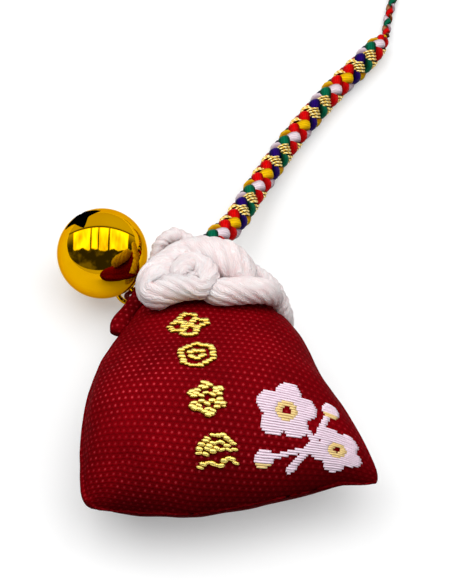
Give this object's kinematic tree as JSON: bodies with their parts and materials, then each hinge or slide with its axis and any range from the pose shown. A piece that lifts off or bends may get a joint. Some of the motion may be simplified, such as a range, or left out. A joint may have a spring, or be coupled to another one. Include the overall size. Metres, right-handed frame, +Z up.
{
  "type": "omamori charm",
  "caption": "Stuffed brocade charm pouch drawn shut by a knotted white cord, with a round jingle bell tied at its neck and a braided strap that ends in a hanging loop.",
  "frame": {"origin": "on the table under the middle of the pouch, on the flattened back of its cloth", "axes": "+Z up from the table, +Y from the pouch's bottom fold to its neck, +X to the right of someone who reads the front"},
  "size_m": [0.0642, 0.1233, 0.0179],
  "materials": {
    "brocade": "woven brocade with fine pale dots",
    "cotton": "loose wadding",
    "cedar": "planed, bare",
    "paper": "matte",
    "white_cord": "braided silky cord",
    "gold_plate": "polished gold plate",
    "steel": "plain ball",
    "red_thread": "twisted thread",
    "braid": "round braid of coloured and metallic strands"
  },
  "bodies": {
    "pouch": {"front_panel": "brocade", "back_panel": "brocade", "wadding_front": "cotton", "wadding_back": "cotton", "prayer_slip": "cedar", "slip_wrapper": "paper", "neck_cord": "white_cord", "knot_cord": "white_cord", "bell_tie": "red_thread"},
    "bell": {"bell_shell": "gold_plate", "bell_loop": "gold_plate"},
    "bell_ball": {"bell_ball": "steel"},
    "strap": {"strap_braid": "braid", "strap_leg": "braid", "hang_loop": "braid", "loop_knot": "braid"}
  },
  "joints": [
    {"name": "bell_swing", "type": "hinge", "parent": "pouch", "child": "bell", "pos_m": [-0.00946, 0.02005, 0.00171], "axis": [-0.4935, 0.611, -0.6189], "range_deg": [0, 22]},
    {"name": "ball_rattle", "type": "slide", "parent": "bell", "child": "bell_ball", "axis": [0, 0, 1], "range_m": [0, 0.0066]},
    {"name": "strap_swing", "type": "hinge", "parent": "pouch", "child": "strap", "pos_m": [0, 0.0169, 0.0074], "axis": [0, 0, 1], "range_deg": [-15, 28]}
  ]
}
